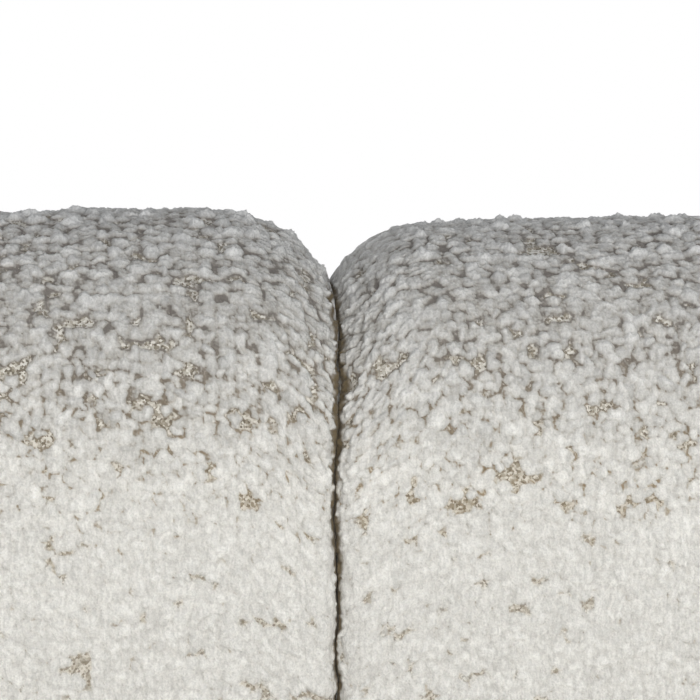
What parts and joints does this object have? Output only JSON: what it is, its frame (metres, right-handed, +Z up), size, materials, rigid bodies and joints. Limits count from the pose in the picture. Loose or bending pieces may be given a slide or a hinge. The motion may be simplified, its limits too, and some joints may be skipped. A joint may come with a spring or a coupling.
{
  "type": "tuxedo sofa",
  "caption": "Upholstered tuxedo sofa: arms level with a fat-padded sectioned back, loose zipped seat cushions on a sprung timber base, short tapered legs.",
  "frame": {"origin": "on the floor, under the middle of the sofa's box", "axes": "+Z up; the seat faces -Y; +X is to the right of someone who stands before the sofa and looks at it"},
  "size_m": [2.08, 0.9, 0.76],
  "materials": {
    "boucle": "looped ivory chenille-boucle upholstery cloth over foam",
    "deck_cloth": "plain woven beige decking cloth",
    "cambric": "thin black non-woven dust cloth",
    "seat_foam": "open-cell seat foam, pale yellow",
    "zip_tape": "nylon coil zip, ivory",
    "pine": "planed softwood, unfinished",
    "plywood": "sanded birch plywood, unfinished",
    "walnut": "turned hardwood, satin dark walnut stain",
    "spring_steel": "drawn spring wire, dark oiled",
    "zinc_steel": "bright zinc-plated steel",
    "glide_nylon": "dark brown moulded nylon"
  },
  "bodies": {
    "sofa_body": {"arm_bolt_left_front": "zinc_steel", "arm_bolt_left_rear": "zinc_steel", "arm_bolt_right_front": "zinc_steel", "arm_bolt_right_rear": "zinc_steel", "arm_frame_left": "pine", "arm_frame_right": "pine", "arm_pad_left": "boucle", "arm_pad_right": "boucle", "back_bolt_left_inner": "zinc_steel", "back_bolt_left_outer": "zinc_steel", "back_bolt_right_inner": "zinc_steel", "back_bolt_right_outer": "zinc_steel", "back_frame_left": "pine", "back_frame_right": "pine", "back_pad_left": "boucle", "back_pad_right": "boucle", "centre_rail": "plywood", "corner_block_front_left": "pine", "corner_block_front_right": "pine", "corner_block_rear_left": "pine", "corner_block_rear_right": "pine", "dust_cover": "cambric", "front_border": "boucle", "front_rail": "plywood", "glide_front_centre": "glide_nylon", "glide_front_left": "glide_nylon", "glide_front_right": "glide_nylon", "glide_rear_centre": "glide_nylon", "glide_rear_left": "glide_nylon", "glide_rear_right": "glide_nylon", "hanger_bolt_front_centre": "zinc_steel", "hanger_bolt_front_left": "zinc_steel", "hanger_bolt_front_right": "zinc_steel", "hanger_bolt_rear_centre": "zinc_steel", "hanger_bolt_rear_left": "zinc_steel", "hanger_bolt_rear_right": "zinc_steel", "leg_front_centre": "walnut", "leg_front_left": "walnut", "leg_front_right": "walnut", "leg_rear_centre": "walnut", "leg_rear_left": "walnut", "leg_rear_right": "walnut", "rear_rail": "plywood", "seat_deck": "deck_cloth", "seat_spring_left_1": "spring_steel", "seat_spring_left_2": "spring_steel", "seat_spring_left_3": "spring_steel", "seat_spring_left_4": "spring_steel", "seat_spring_right_1": "spring_steel", "seat_spring_right_2": "spring_steel", "seat_spring_right_3": "spring_steel", "seat_spring_right_4": "spring_steel", "side_rail_left": "plywood", "side_rail_right": "plywood"},
    "seat_cushion_left": {"cushion_core_left": "seat_foam", "cushion_cover_left": "boucle", "cushion_zip_left": "zip_tape"},
    "seat_cushion_right": {"cushion_core_right": "seat_foam", "cushion_cover_right": "boucle", "cushion_zip_right": "zip_tape"}
  },
  "joints": [
    {"name": "seat_cushion_left_lift", "type": "slide", "parent": "sofa_body", "child": "seat_cushion_left", "axis": [0, 0, 1], "range_m": [0, 0.48]},
    {"name": "seat_cushion_right_lift", "type": "slide", "parent": "sofa_body", "child": "seat_cushion_right", "axis": [0, 0, 1], "range_m": [0, 0.48]}
  ]
}
